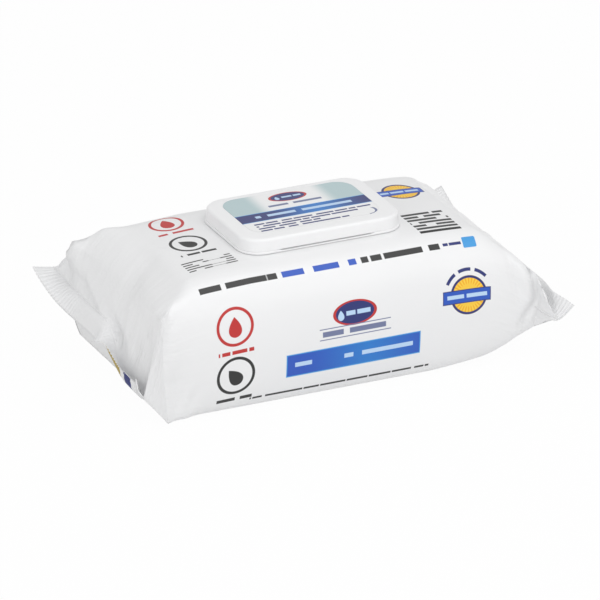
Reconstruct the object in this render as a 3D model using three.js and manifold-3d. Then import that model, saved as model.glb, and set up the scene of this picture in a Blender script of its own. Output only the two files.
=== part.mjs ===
import * as THREE from 'three';
import { mergeVertices } from 'three/addons/utils/BufferGeometryUtils.js';
import Module from 'manifold-3d';

// A soft film pack of wet wipes with a rigid flip lid on top, in millimetres.
// X runs along the pack, Y from the front face to the hinge side, Z up from the surface it lies on.

// The folded stack of wipes inside, and the film drawn round it
const stackLength = 170;
const packWidth = 124;
const packHeight = 77.5;
const bellyHeight = 34; // where the sides bulge furthest
const baseHalfWidth = 51; // flat part of the underside
const crownHalfWidth = 34; // flat part of the top, under the lid
const crownHalfLength = 54;

// The sealed ends: a ridge at each corner, then a crimped fin whose ends stand out as ears
const ridgeBeyondStack = 26;
const sealBeyondStack = 29;
const finWidth = 12.5;
const earOverhang = 19; // how far an ear stands out past the side of the pack
const filmThickness = 0.7; // both layers of a fin with their crimped air
const gatherThickness = 1.3; // where the film gathers just before a fin
const ribPitch = 2.2;
const ribHeight = 0.7;
const finRoot = 2; // stretch of each fin that runs inside the body
const finLevel = 0.35; // the fin comes out level this far, then tilts

// The long seam under the pack, pressed flat into the film
const seamWidth = 13;
const seamThickness = 0.45;
const seamMargin = 0.75;
const seamHalfLength = 68;
const seamOffset = 6; // the flap is folded to one side of the middle

// The moulded closure
const closureLength = 96;
const closureDepth = 64;
const closureCornerRadius = 12.5;
const flangeThickness = 1.2;
const flangeMargin = 0.8; // flange past the lid all round
const lidHeight = 7;
const lidWall = 1.2;
const lidRoof = 1.3;
const lidEdgeRadius = 2.2;
const lidCornerFacets = 8;
const seatGap = 0.3; // between a piece and what it rests on
const partingGap = 0.3;
const liftNotchLength = 58; // scoop under the front edge for a fingertip
const liftNotchHeight = 0.9;
const liftNotchDepth = 2.6;

// The opening that the wipes are drawn through, and the ring that closes round it
const openingLength = 68;
const openingDepth = 34;
const collarWall = 1.2;
const collarHeight = 3.4;
const collarClearance = 0.5;
const sealRingWall = 1;
const latchLength = 14;
const latchHeight = 2.2;
const latchThickness = 1.1;
const latchBump = 0.5; // the lid's bead that snaps over the latch
const latchClearance = 0.3;

// The film-thin hinge, drawn as a bead that the lid's lugs turn round
const hingeBeadRadius = 0.55;
const hingeClearance = 0.3;
const hingeBehindWall = 1.05;
const hingeStrapLength = 22;
const hingeStrapSpacing = 46;
const hingeLugReach = 1.6;

// The printed label on the lid and the peel-off seal under it
const labelLength = 78;
const labelDepth = 50;
const labelCornerRadius = 10;
const labelThickness = 0.25;
const labelRecess = 0.2;
const labelOffset = 2; // towards the hinge
const glueGap = 0.02;
const sealThickness = 0.2;
const sealMargin = 3; // between the peel-off seal and the opening's wall
const pullTabLength = 12;
const pullTabWidth = 11;
const pullTabLift = 13; // degrees

const halfWidth = packWidth / 2;
const stackEnd = stackLength / 2;
const frameBase = packHeight + seatGap;
const flangeTop = frameBase + flangeThickness;
const lidBase = flangeTop + partingGap;
const lidTop = lidBase + lidHeight;
const hingeY = closureDepth / 2 + hingeBehindWall;
const hingeZ = flangeTop + partingGap / 2;

const wasm = await Module();
wasm.setup();

function toSolid(geometry) {
  const bare = geometry.clone();
  bare.deleteAttribute('normal');
  bare.deleteAttribute('uv');
  const merged = mergeVertices(bare, 1e-4);
  return new wasm.Manifold(new wasm.Mesh({
    numProp: 3,
    vertProperties: Float32Array.from(merged.attributes.position.array),
    triVerts: Uint32Array.from(merged.index.array),
  }));
}

const shortestEdge = 0.01;

function toGeometry(solid) {
  const mesh = solid.asOriginal().simplify(shortestEdge).getMesh();
  const geometry = new THREE.BufferGeometry();
  geometry.setAttribute('position', new THREE.BufferAttribute(Float32Array.from(mesh.vertProperties), 3));
  geometry.setIndex(new THREE.BufferAttribute(Uint32Array.from(mesh.triVerts), 1));
  geometry.computeVertexNormals();
  return geometry;
}

// A closed solid through a row of equal loops, with a cap on each end loop made of strips across it
function loft(loops) {
  const count = loops[0].length;
  const positions = [];
  for (const loop of loops) {
    for (const point of loop) positions.push(point.x, point.y, point.z);
  }
  const faces = [];
  for (let row = 0; row < loops.length - 1; row += 1) {
    for (let column = 0; column < count; column += 1) {
      const next = (column + 1) % count;
      const a = row * count + column;
      const b = row * count + next;
      const c = (row + 1) * count + next;
      const d = (row + 1) * count + column;
      faces.push(a, b, c, a, c, d);
    }
  }
  const last = (loops.length - 1) * count;
  for (let step = 0; step < count / 2 - 1; step += 1) {
    const near = step;
    const far = count - 1 - step;
    faces.push(near, far, far - 1, near, far - 1, near + 1);
    faces.push(last + near, last + far - 1, last + far, last + near, last + near + 1, last + far - 1);
  }
  const geometry = new THREE.BufferGeometry();
  geometry.setAttribute('position', new THREE.Float32BufferAttribute(positions, 3));
  geometry.setIndex(faces);
  return geometry;
}

// A smooth curve through knots that never swings past them, as [knot, value] pairs
function easedThrough(knots) {
  const slopes = knots.map((knot, i) => {
    if (i === 0 || i === knots.length - 1) return 0;
    const before = (knot[1] - knots[i - 1][1]) / (knot[0] - knots[i - 1][0]);
    const after = (knots[i + 1][1] - knot[1]) / (knots[i + 1][0] - knot[0]);
    return before * after > 0 ? 2 * before * after / (before + after) : 0;
  });
  return (at) => {
    let i = 0;
    while (i < knots.length - 2 && at > knots[i + 1][0]) i += 1;
    const span = knots[i + 1][0] - knots[i][0];
    const t = THREE.MathUtils.clamp((at - knots[i][0]) / span, 0, 1);
    const t2 = t * t;
    const t3 = t2 * t;
    return (2 * t3 - 3 * t2 + 1) * knots[i][1] + (t3 - 2 * t2 + t) * span * slopes[i]
      + (3 * t2 - 2 * t3) * knots[i + 1][1] + (t3 - t2) * span * slopes[i + 1];
  };
}

// Each end of the film. A row of seal is [place from the front ear (-1) to the back ear (1), distance
// across as a share of the ear span, height as a share of the pack's, distance past the stack as a share
// of sealBeyondStack, tilt of the fin in degrees above level]. A corner's top and foot are the ends of the
// ridge where the film turns into the end: [past the stack, across, height] as shares of
// ridgeBeyondStack, the half width and the pack's height. crest is the height where the top starts down.
const ends = {
  left: {
    side: -1,
    seal: [
      [-1, -0.63, 0.21, 1.14, 80],
      [-0.72, -0.52, 0.14, 1.02, 76],
      [-0.4, -0.3, 0.15, 1.02, 74],
      [-0.16, -0.1, 0.25, 1.02, 66],
      [-0.04, 0.03, 0.37, 0.97, 0],
      [0.12, 0.17, 0.45, 0.94, -66],
      [0.5, 0.5, 0.46, 0.95, -60],
      [0.75, 0.76, 0.48, 0.97, -24],
      [1, 1, 0.52, 1.02, 12],
    ],
    crest: { front: 0.9, middle: 0.885, back: 0.945 },
    ridgeMiddle: [0.69, 0.73],
    ridgeKeel: [0.77, 0.04],
    footLift: 0,
    front: { top: [1, 0.968, 0.8], foot: [0.83, 0.92, 0] },
    back: { top: [0.96, 0.96, 0.787], foot: [0.92, 0.935, 0.1] },
  },
  right: {
    side: 1,
    seal: [
      [-1, -1, 0.385, 1.1, 42],
      [-0.8, -0.82, 0.38, 1.07, 70],
      [-0.55, -0.57, 0.42, 1.02, 40],
      [-0.2, -0.21, 0.47, 0.98, 8],
      [0.2, 0.21, 0.45, 1, 4],
      [0.6, 0.62, 0.46, 0.97, -6],
      [1, 1, 0.5, 0.97, 14],
    ],
    crest: { front: 0.865, middle: 0.85, back: 0.865 },
    ridgeMiddle: [1.07, 0.645],
    ridgeKeel: [0.77, 0.18],
    footLift: 0.065,
    front: { top: [1.11, 0.968, 0.645], foot: [1.09, 0.968, 0.24] },
    back: { top: [0.84, 0.945, 0.76], foot: [0.92, 0.95, 0.23] },
  },
};

const earSpan = halfWidth + earOverhang;
const sealShares = [earSpan, packHeight, sealBeyondStack, 1];

for (const end of Object.values(ends)) {
  const curves = sealShares.map((size, i) => easedThrough(end.seal.map((row) => [row[0], row[i + 1] * size])));
  [end.across, end.rise, end.out, end.turn] = curves;
}

// Place on the line where the fin of an end begins, at share s from the front ear to the back ear
function sealPoint(end, s) {
  return new THREE.Vector3(end.side * (stackEnd + end.out(s)), end.across(s), end.rise(s));
}

// Guide points of the film on one side of the pack (side -1 is the front), at each station from the
// middle out to the corner ridge of an end
function railStations(end, side) {
  const corner = side < 0 ? end.front : end.back;
  const crest = side < 0 ? end.crest.front : end.crest.back;
  const place = (past, across, high) => new THREE.Vector3(
    end.side * (stackEnd + past * ridgeBeyondStack), side * across * halfWidth, high * packHeight,
  );
  const inner = -(stackEnd - crownHalfLength) / ridgeBeyondStack;
  const crown = crownHalfWidth / halfWidth;
  const base = baseHalfWidth / halfWidth;
  const belly = bellyHeight / packHeight;
  const lift = end.footLift;
  const ridgeTop = place(...corner.top);
  const ridgeFoot = place(...corner.foot);
  const ridgeBelly = place(
    (corner.top[0] + corner.foot[0]) / 2 + 0.04,
    (corner.top[1] + corner.foot[1]) / 2 + 0.016,
    (corner.top[2] + corner.foot[2]) / 2,
  );
  return [
    {
      crownMiddle: place(inner, 0, 1),
      crownEdge: place(inner, crown, 1),
      shoulder: place(inner, 0.992, 1),
      belly: place(inner, 1, belly),
      hip: place(inner, 1, 0),
      footEdge: place(inner, base, 0),
      keel: place(inner, 0, 0),
    },
    {
      crownMiddle: place(-0.1, 0, 0.985),
      crownEdge: place(-0.08, crown + 0.05, 0.975),
      shoulder: place(-0.04, 0.984, 0.961),
      belly: place(0, 0.992, belly),
      hip: place(0, 0.992, lift * 0.5),
      footEdge: place(0, base, lift * 0.6),
      keel: place(0, 0, 0),
    },
    {
      crownMiddle: place(0.3, 0, end.crest.middle),
      crownEdge: place(0.42, crown + 0.21, crest),
      shoulder: place(0.46, 0.976, crest - 0.013),
      belly: place(0.5, 0.984, belly + 0.013),
      hip: place(0.46, 0.984, lift * 1.4),
      footEdge: place(0.42, base + 0.05, lift * 1.6),
      keel: place(0.4, 0, end.ridgeKeel[1] * 0.2),
    },
    {
      crownMiddle: place(end.ridgeMiddle[0], 0, end.ridgeMiddle[1]),
      crownEdge: ridgeTop,
      shoulder: ridgeTop.clone().lerp(ridgeBelly, 0.4),
      belly: ridgeBelly,
      hip: ridgeFoot.clone().lerp(ridgeBelly, 0.4),
      footEdge: ridgeFoot,
      keel: place(end.ridgeKeel[0], 0, end.ridgeKeel[1]),
    },
  ];
}

// Half of a section, from the belly over the crown or under the keel to the middle
const cornerSteps = 8;
const flatSteps = 6;
const gussetShare = 0.93; // the ridge's ends run to this share of the seal, and the film between folds into the ear
const sealedShare = 0.985;

function halfSection(rails, upper) {
  const [middle, edge, corner] = upper
    ? [rails.crownMiddle, rails.crownEdge, rails.shoulder]
    : [rails.keel, rails.footEdge, rails.hip];
  const bend = new THREE.QuadraticBezierCurve3(rails.belly, corner, edge);
  const flat = new THREE.LineCurve3(edge, middle);
  return [...bend.getPoints(cornerSteps).slice(0, -1), ...flat.getPoints(flatSteps)];
}

// The same points where the film meets the fin, in one layer over the other
function halfSeal(end, side, upper) {
  const points = [];
  for (let i = 0; i < cornerSteps + flatSteps + 1; i += 1) {
    const share = i < cornerSteps
      ? THREE.MathUtils.lerp(sealedShare, gussetShare, i / cornerSteps)
      : gussetShare * (1 - (i - cornerSteps) / flatSteps);
    const layer = i === 0 ? 0 : (upper ? 0.5 : -0.5) * gatherThickness;
    const point = sealPoint(end, side * share);
    point.z += layer;
    points.push(point);
  }
  return points;
}

// All round the pack, from halves given as half(side, upper)
function allRound(half) {
  const under = [...half(-1, false), ...half(1, false).reverse().slice(1)];
  const over = [...half(1, true), ...half(-1, true).reverse().slice(1)];
  return [...under.slice(0, -1), ...over.slice(0, -1)];
}

const stationSteps = 9; // sections between the crown and the corner ridges
const closingSteps = 5; // sections between the corner ridges and the seal

function endLoops(end) {
  const rails = { '-1': railStations(end, -1), 1: railStations(end, 1) };
  const stations = [0, 1, 2, 3].map((i) => allRound((side, upper) => halfSection(rails[side][i], upper)));
  stations.push(allRound((side, upper) => halfSeal(end, side, upper)));
  // The top runs down to the seal in one sweep at its middle and turns sharply at the corner ridges
  const sweeps = allRound((side, upper) => {
    const flats = Array.from({ length: flatSteps + 1 }, (_, i) => 1 - (1 - i / flatSteps) ** 2);
    return [...Array(cornerSteps).fill(0), ...flats].map((sweep) => ({ sweep: upper ? sweep : 0 }));
  }).map((entry) => entry.sweep);
  const columns = stations[0].map((_, column) => ['x', 'y', 'z'].map((axis) => {
    const knots = stations.map((station, i) => [i, station[column][axis]]);
    return { folded: easedThrough(knots.slice(0, 4)), swept: easedThrough(knots), knots };
  }));
  const at = [];
  for (let i = 0; i <= stationSteps; i += 1) at.push(3 * i / stationSteps);
  for (let i = 1; i <= closingSteps; i += 1) at.push(3 + i / closingSteps);
  return at.map((t) => columns.map((axes, column) => {
    const values = axes.map(({ folded, swept, knots }) => {
      const sharp = t <= 3 ? folded(t) : THREE.MathUtils.lerp(knots[3][1], knots[4][1], t - 3);
      return THREE.MathUtils.lerp(sharp, swept(t), sweeps[column]);
    });
    return new THREE.Vector3(...values);
  }));
}

// The crimped fin: both layers pressed together, with ribs running along the pack
function finGeometry(end) {
  const line = (s) => sealPoint(end, s);
  const ribCount = Math.round(2 * earSpan / ribPitch);
  const columns = ribCount * 2;
  const widths = [-finRoot, finLevel, 2.5, finWidth];
  const loops = [];
  for (let column = 0; column <= columns; column += 1) {
    const s = -1 + 2 * column / columns;
    const root = line(s);
    const ahead = line(Math.min(s + 0.01, 1)).sub(line(Math.max(s - 0.01, -1))).normalize();
    const turn = THREE.MathUtils.degToRad(end.turn(s));
    const rib = (column % 2 ? 0.5 : -0.5) * ribHeight;
    const upper = [];
    const lower = [];
    const place = root.clone();
    let reached = 0;
    for (const width of widths) {
      const eased = width > finLevel ? Math.min(1, 0.4 + width / finWidth) : 0;
      const way = new THREE.Vector3(end.side * Math.cos(turn * eased), 0, Math.sin(turn * eased));
      place.addScaledVector(way, width - reached);
      reached = width;
      const normal = way.clone().cross(ahead).normalize();
      if (normal.dot(new THREE.Vector3(-end.side * Math.sin(turn * eased), 0, Math.cos(turn * eased))) < 0) {
        normal.negate();
      }
      const crimp = width > finLevel ? rib : 0;
      const half = (width < 0 ? 0.5 : 1) * filmThickness / 2;
      upper.push(place.clone().addScaledVector(normal, crimp + half));
      lower.push(place.clone().addScaledVector(normal, crimp - half));
    }
    const loop = [...upper, ...lower.reverse()];
    loops.push(end.side > 0 ? loop : loop.reverse());
  }
  return loft(loops);
}

function roundedOutline(length, depth, radius, facets) {
  const points = [];
  const centres = [[1, 1], [-1, 1], [-1, -1], [1, -1]];
  centres.forEach(([sx, sy], quarter) => {
    for (let i = 0; i <= facets; i += 1) {
      const angle = (quarter + i / facets) * Math.PI / 2;
      points.push(new THREE.Vector2(
        sx * (length / 2 - radius) + radius * Math.cos(angle),
        sy * (depth / 2 - radius) + radius * Math.sin(angle),
      ));
    }
  });
  return points;
}

// A plate with rounded corners between two heights, moved by (x, y)
function plate(length, depth, radius, low, high, y = 0, facets = lidCornerFacets) {
  const shape = new THREE.Shape(roundedOutline(length, depth, radius, facets));
  const geometry = new THREE.ExtrudeGeometry(shape, { depth: high - low, bevelEnabled: false, steps: 1 });
  geometry.translate(0, y, low);
  return toSolid(geometry);
}

// A stack of rounded outlines, each [inset, height], as one solid
function steppedPlate(length, depth, radius, levels) {
  const loops = levels.map(([inset, height]) => roundedOutline(
    length - 2 * inset, depth - 2 * inset, Math.max(radius - inset, 0.5), lidCornerFacets,
  ).map((point) => new THREE.Vector3(point.x, point.y, height)));
  return toSolid(loft(loops));
}

function box(width, depth, low, high, x, y) {
  const geometry = new THREE.BoxGeometry(width, depth, high - low);
  geometry.translate(x, y, (low + high) / 2);
  return toSolid(geometry);
}

function rodAlongX(radius, length, x, y, z, facets = 20) {
  const geometry = new THREE.CylinderGeometry(radius, radius, length, facets);
  geometry.rotateZ(Math.PI / 2);
  geometry.translate(x, y, z);
  return toSolid(geometry);
}

function filmPouch() {
  const left = endLoops(ends.left).reverse();
  const loops = [...left, ...endLoops(ends.right)];
  let pouch = toSolid(loft(loops));
  pouch = pouch.add(toSolid(finGeometry(ends.left)));
  pouch = pouch.add(toSolid(finGeometry(ends.right)));
  const groove = box(2 * (seamHalfLength + seamMargin), seamWidth + 2 * seamMargin, -1, seamThickness + 0.15, 0, seamOffset);
  const flap = box(2 * seamHalfLength, seamWidth, 0, seamThickness + 1, 0, seamOffset);
  pouch = pouch.subtract(groove).add(flap);
  // Only the outer skin counts: small pockets where a fin joins the body are filled
  return pouch.decompose().reduce((best, shell) => (shell.volume() > best.volume() ? shell : best));
}

function closureFrame() {
  const length = closureLength + 2 * flangeMargin;
  const depth = closureDepth + 2 * flangeMargin;
  let frame = plate(length, depth, closureCornerRadius + flangeMargin, frameBase, flangeTop);
  const outerLength = openingLength + 2 * collarWall;
  const outerDepth = openingDepth + 2 * collarWall;
  frame = frame.add(plate(outerLength, outerDepth, outerDepth / 2, frameBase, flangeTop + collarHeight));
  frame = frame.subtract(plate(openingLength, openingDepth, openingDepth / 2, frameBase - 1, flangeTop + collarHeight + 1));
  for (const x of [-hingeStrapSpacing / 2, hingeStrapSpacing / 2]) {
    frame = frame.add(rodAlongX(hingeBeadRadius, hingeStrapLength, x, hingeY, hingeZ));
  }
  const latchY = -closureDepth / 2 + lidWall + latchBump + latchClearance + latchThickness / 2;
  frame = frame.add(box(latchLength, latchThickness, flangeTop - 0.5, flangeTop + latchHeight, 0, latchY));
  const notch = rodAlongX(liftNotchDepth, liftNotchLength, 0, -depth / 2, flangeTop + liftNotchDepth - liftNotchHeight, 32);
  return frame.subtract(notch);
}

function lidEdge(base, top, radius) {
  const arcs = [0, 0.25, 0.5, 0.75, 1].map((t) => [
    0.25 + radius * (1 - Math.cos(t * Math.PI / 2)), top - radius + radius * Math.sin(t * Math.PI / 2),
  ]);
  return [[0, base], ...arcs];
}

function lidShell() {
  let lid = steppedPlate(closureLength, closureDepth, closureCornerRadius, lidEdge(lidBase, lidTop, lidEdgeRadius));
  const roof = lidTop - lidRoof;
  lid = lid.subtract(plate(
    closureLength - 2 * lidWall, closureDepth - 2 * lidWall, closureCornerRadius - lidWall, lidBase - 1, roof,
  ));
  const ringInner = [openingLength, openingDepth].map((size) => size + 2 * (collarWall + collarClearance));
  const ringOuter = ringInner.map((size) => size + 2 * sealRingWall);
  const ring = plate(ringOuter[0], ringOuter[1], ringOuter[1] / 2, lidBase + 0.9, roof + 0.3)
    .subtract(plate(ringInner[0], ringInner[1], ringInner[1] / 2, lidBase, roof + 0.4));
  lid = lid.add(ring);
  const bumpBack = -closureDepth / 2 + lidWall / 2;
  const bumpFront = -closureDepth / 2 + lidWall + latchBump;
  lid = lid.add(box(
    latchLength - 2, bumpFront - bumpBack, lidBase + 0.3, lidBase + 1.1, 0, (bumpFront + bumpBack) / 2,
  ));
  for (const x of [-hingeStrapSpacing / 2, hingeStrapSpacing / 2]) {
    const lugBack = hingeY + 0.5;
    const lugFront = closureDepth / 2 - lidWall / 2;
    lid = lid.add(box(
      hingeStrapLength, lugBack - lugFront, hingeZ, hingeZ + hingeLugReach, x, (lugBack + lugFront) / 2,
    ));
    lid = lid.subtract(rodAlongX(hingeBeadRadius + hingeClearance, hingeStrapLength + 1, x, hingeY, hingeZ));
  }
  lid = lid.subtract(plate(
    labelLength + 0.4, labelDepth + 0.4, labelCornerRadius + 0.2, lidTop - labelRecess, lidTop + 1, labelOffset,
  ));
  return lid;
}

function lidLabel() {
  const low = lidTop - labelRecess + glueGap;
  return plate(labelLength, labelDepth, labelCornerRadius, low, low + labelThickness, labelOffset);
}

function peelSeal() {
  const length = openingLength - 2 * sealMargin;
  const depth = openingDepth - 2 * sealMargin;
  const low = packHeight + glueGap;
  const sheet = plate(length, depth, depth / 2, low, low + sealThickness);
  // The pull tab curls up off the film at the right end
  const tab = new THREE.BoxGeometry(pullTabLength, pullTabWidth, sealThickness);
  tab.translate(pullTabLength / 2, 0, 0);
  tab.rotateY(-THREE.MathUtils.degToRad(pullTabLift));
  tab.translate(length / 2 - pullTabLength, 0, low + sealThickness / 2 + 0.02);
  return sheet.add(toSolid(tab));
}

const finishes = {
  film: { color: 0xf1f1f2, roughness: 0.38, metalness: 0 },
  closure: { color: 0xf4f4f5, roughness: 0.45, metalness: 0 },
  label: { color: 0xeef3f6, roughness: 0.35, metalness: 0 },
  foil: { color: 0xc9ccd0, roughness: 0.3, metalness: 0.6 },
};

function named(name, solid, finish) {
  const mesh = new THREE.Mesh(toGeometry(solid), new THREE.MeshStandardMaterial(finishes[finish]));
  mesh.name = name;
  return mesh;
}

const pack = new THREE.Group();
pack.add(named('film_pouch', filmPouch(), 'film'));
pack.add(named('peel_seal', peelSeal(), 'foil'));
pack.add(named('closure_frame', closureFrame(), 'closure'));
pack.add(named('lid', lidShell(), 'closure'));
pack.add(named('lid_label', lidLabel(), 'label'));

export default pack;
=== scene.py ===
import math

import bmesh
import bpy
import numpy as np
from mathutils import Matrix, Vector


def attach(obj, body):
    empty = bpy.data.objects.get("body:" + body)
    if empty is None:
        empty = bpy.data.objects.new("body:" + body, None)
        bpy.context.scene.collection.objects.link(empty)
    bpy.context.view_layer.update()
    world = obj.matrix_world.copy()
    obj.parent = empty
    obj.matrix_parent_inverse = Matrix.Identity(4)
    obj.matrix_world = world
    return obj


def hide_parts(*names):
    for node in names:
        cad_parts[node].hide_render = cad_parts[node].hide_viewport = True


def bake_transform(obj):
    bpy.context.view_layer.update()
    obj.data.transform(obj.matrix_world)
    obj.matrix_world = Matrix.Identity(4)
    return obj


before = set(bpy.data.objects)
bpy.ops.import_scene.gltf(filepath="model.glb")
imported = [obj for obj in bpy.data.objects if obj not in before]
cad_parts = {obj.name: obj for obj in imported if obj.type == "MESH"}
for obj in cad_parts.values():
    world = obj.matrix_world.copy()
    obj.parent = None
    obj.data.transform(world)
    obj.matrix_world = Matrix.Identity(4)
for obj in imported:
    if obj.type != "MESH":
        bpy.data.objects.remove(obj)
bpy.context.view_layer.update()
scene = bpy.context.scene
mm = 0.001

# the photograph looks along the pack from its left front, from far away
camera = {
    "azimuth": -24.9, "elevation": 23.42, "distance": 3.9, "lens": 424.0, "sensor": 36,
    "aim": (-0.0013, 0.0, 0.0316),
}


def lookFrom(azimuth, elevation):
    a = math.radians(azimuth)
    e = math.radians(elevation)
    return Vector((math.sin(a) * math.cos(e), -math.cos(a) * math.cos(e), math.sin(e)))


def placeFacing(obj, back, distance):
    # stands the object off along back and turns it to the point aimed at
    obj.location = Vector(camera["aim"]) + back * distance
    obj.rotation_euler = back.to_track_quat("Z", "Y").to_euler()
    scene.collection.objects.link(obj)


def addCamera():
    data = bpy.data.cameras.new("camera")
    obj = bpy.data.objects.new("camera", data)
    placeFacing(obj, lookFrom(camera["azimuth"], camera["elevation"]), camera["distance"])
    data.lens = camera["lens"]
    data.sensor_width = camera["sensor"]
    data.clip_end = 50
    scene.camera = obj


def addLamp(name, azimuth, elevation, distance, size, power):
    data = bpy.data.lights.new(name, "AREA")
    data.shape = "DISK"
    data.size = size
    data.energy = power
    placeFacing(bpy.data.objects.new(name, data), lookFrom(azimuth, elevation), distance)


addCamera()
addLamp("softboxAbove", 20, 72, 1.3, 1.1, 4.8)
addLamp("softboxRight", 35, 28, 1.8, 1.2, 3.9)
addLamp("softboxLeft", -62, 20, 1.7, 0.9, 4.2)
addLamp("softboxLow", -20, 12, 2.0, 1.4, 2.8)
print("camera and lamps placed")


class Sock:
    # a node's output that can be used in Python sums
    def __init__(self, mat, socket):
        self.mat = mat
        self.socket = socket

    def join(self, operation, other, swap=False):
        pair = (other, self) if swap else (self, other)
        return self.mat.node("ShaderNodeMath", {"operation": operation}, {0: pair[0], 1: pair[1]})

    def __add__(self, other):
        return self.join("ADD", other)

    def __radd__(self, other):
        return self.join("ADD", other, True)

    def __sub__(self, other):
        return self.join("SUBTRACT", other)

    def __rsub__(self, other):
        return self.join("SUBTRACT", other, True)

    def __mul__(self, other):
        return self.join("MULTIPLY", other)

    def __rmul__(self, other):
        return self.join("MULTIPLY", other, True)

    def __truediv__(self, other):
        return self.join("DIVIDE", other)

    def __rtruediv__(self, other):
        return self.join("DIVIDE", other, True)

    def __abs__(self):
        return self.join("ABSOLUTE", 0.0)


class Mat:
    # one procedural material: node() takes a type, its settings and its socket values
    def __init__(self, name):
        self.material = bpy.data.materials.new(name)
        self.material.use_nodes = True
        self.tree = self.material.node_tree
        self.shader = self.tree.nodes["Principled BSDF"]

    def put(self, socket, value):
        if isinstance(value, Sock):
            self.tree.links.new(value.socket, socket)
        elif isinstance(value, (tuple, list)) and len(value) == 3 and socket.type == "RGBA":
            socket.default_value = (*value, 1.0)
        else:
            socket.default_value = value

    def node(self, kind, settings=None, inputs=None, output=0):
        made = self.tree.nodes.new(kind)
        for key, value in (settings or {}).items():
            setattr(made, key, value)
        for key, value in (inputs or {}).items():
            self.put(made.inputs[key], value)
        return Sock(self, made.outputs[output])

    def math(self, operation, *values):
        return self.node("ShaderNodeMath", {"operation": operation}, dict(enumerate(values)))

    def blendColour(self, amount, low, high):
        # 6 and 7 are the colour inputs of the Mix node, 2 its colour output
        settings = {"data_type": "RGBA", "blend_type": "MIX", "clamp_factor": True}
        return self.node("ShaderNodeMix", settings, {0: amount, 6: low, 7: high}, output=2)

    def noise(self, vector, scale, detail=2.0, rough=0.5):
        inputs = {"Vector": vector, "Scale": scale, "Detail": detail, "Roughness": rough}
        return self.node("ShaderNodeTexNoise", {}, inputs)

    def step(self, distance, soft):
        # 1 inside a shape, 0 outside, over a soft edge
        return self.node("ShaderNodeMapRange", {"interpolation_type": "SMOOTHSTEP"}, {
            "Value": distance, "From Min": soft, "From Max": -soft, "To Min": 0.0, "To Max": 1.0})

    def coords(self, source, scale=1.0):
        # the first two coordinates of a place or a UV map
        split = self.node("ShaderNodeSeparateXYZ", {}, {0: source})
        return [Sock(self, split.socket.node.outputs[i]) * scale for i in (0, 1)]

    def finish(self, **sockets):
        for key, value in sockets.items():
            self.put(self.shader.inputs[key.replace("_", " ")], value)
        return self.material


def objectPlace(mat):
    return mat.node("ShaderNodeTexCoord", {}, {}, "Object")


def asObject(name, bm):
    # the finished bmesh as an object in the scene
    mesh = bpy.data.meshes.new(name)
    bm.to_mesh(mesh)
    bm.free()
    obj = bpy.data.objects.new(name, mesh)
    scene.collection.objects.link(obj)
    return obj


def setMaterial(obj, material):
    obj.data.materials.clear()
    obj.data.materials.append(material)


film = {
    "stackEnd": 85.0, "halfWidth": 62.0, "height": 77.5, "belly": 34.0, "baseHalf": 51.0,
    "crownHalf": 34.0, "crownEnd": 54.0, "ridge": 26.0, "sealOut": 29.0, "finWidth": 12.5, "gather": 1.3,
    "ear": 19.0, "gusset": 0.93, "sealed": 0.985, "cornerCuts": 22, "flatCuts": 20,
    "endRows": 30, "closingRows": 14, "middleRows": 44,
}

# A row of seal is place from the front ear (-1) to the back ear (1), distance across as a share of the
# ear span, height as a share of the pack's, distance past the stack as a share of the usual one, and the
# fin's tilt in degrees. The rest are shares past the stack, across and up. All are the CAD model's own,
# apart from the right end's last row of seal, which stands a little higher.
ends = {
    "left": {
        "side": -1,
        "seal": [(-1, -0.63, 0.21, 1.14, 80), (-0.72, -0.52, 0.14, 1.02, 76), (-0.4, -0.3, 0.15, 1.02, 74),
                 (-0.16, -0.1, 0.25, 1.02, 66), (-0.04, 0.03, 0.37, 0.97, 0),
                 (0.12, 0.17, 0.45, 0.94, -66), (0.5, 0.5, 0.46, 0.95, -60), (0.75, 0.76, 0.48, 0.97, -24),
                 (1, 1, 0.52, 1.02, 12)],
        "crest": {"front": 0.9, "middle": 0.885, "back": 0.945},
        "ridgeMiddle": (0.69, 0.73), "ridgeKeel": (0.77, 0.04), "footLift": 0,
        "front": {"top": (1, 0.968, 0.8), "foot": (0.83, 0.92, 0)},
        "back": {"top": (0.96, 0.96, 0.787), "foot": (0.92, 0.935, 0.1)},
    },
    "right": {
        "side": 1,
        "seal": [(-1, -1, 0.385, 1.1, 42), (-0.8, -0.82, 0.38, 1.07, 70), (-0.55, -0.57, 0.42, 1.02, 40),
                 (-0.2, -0.21, 0.47, 0.98, 8), (0.2, 0.21, 0.45, 1, 4), (0.6, 0.62, 0.46, 0.97, -6),
                 (1, 1, 0.555, 0.97, 24)],
        "crest": {"front": 0.865, "middle": 0.85, "back": 0.865},
        "ridgeMiddle": (1.07, 0.645), "ridgeKeel": (0.77, 0.18), "footLift": 0.065,
        "front": {"top": (1.11, 0.968, 0.645), "foot": (1.09, 0.968, 0.24)},
        "back": {"top": (0.84, 0.945, 0.76), "foot": (0.92, 0.95, 0.23)},
    },
}


def easedThrough(places, values, at):
    # a smooth curve through values at places that never swings past them
    places = np.asarray(places, float)
    values = np.asarray(values, float)
    values = values.reshape(len(places), -1)
    at = np.atleast_1d(np.asarray(at, float))
    spans = np.diff(places)[:, None]
    slopes = np.diff(values, axis=0) / spans
    knots = np.zeros_like(values)
    product = slopes[:-1] * slopes[1:]
    total = np.where(product > 0, slopes[:-1] + slopes[1:], 1.0)
    knots[1:-1] = np.where(product > 0, 2 * product / total, 0.0)
    i = np.clip(np.searchsorted(places, at, side="right") - 1, 0, len(places) - 2)
    span = spans[i]
    t = np.clip((at[:, None] - places[i][:, None]) / span, 0, 1)
    t2 = t * t
    t3 = t2 * t
    return ((2 * t3 - 3 * t2 + 1) * values[i] + (t3 - 2 * t2 + t) * span * knots[i]
            + (3 * t2 - 2 * t3) * values[i + 1] + (t3 - t2) * span * knots[i + 1])


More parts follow.
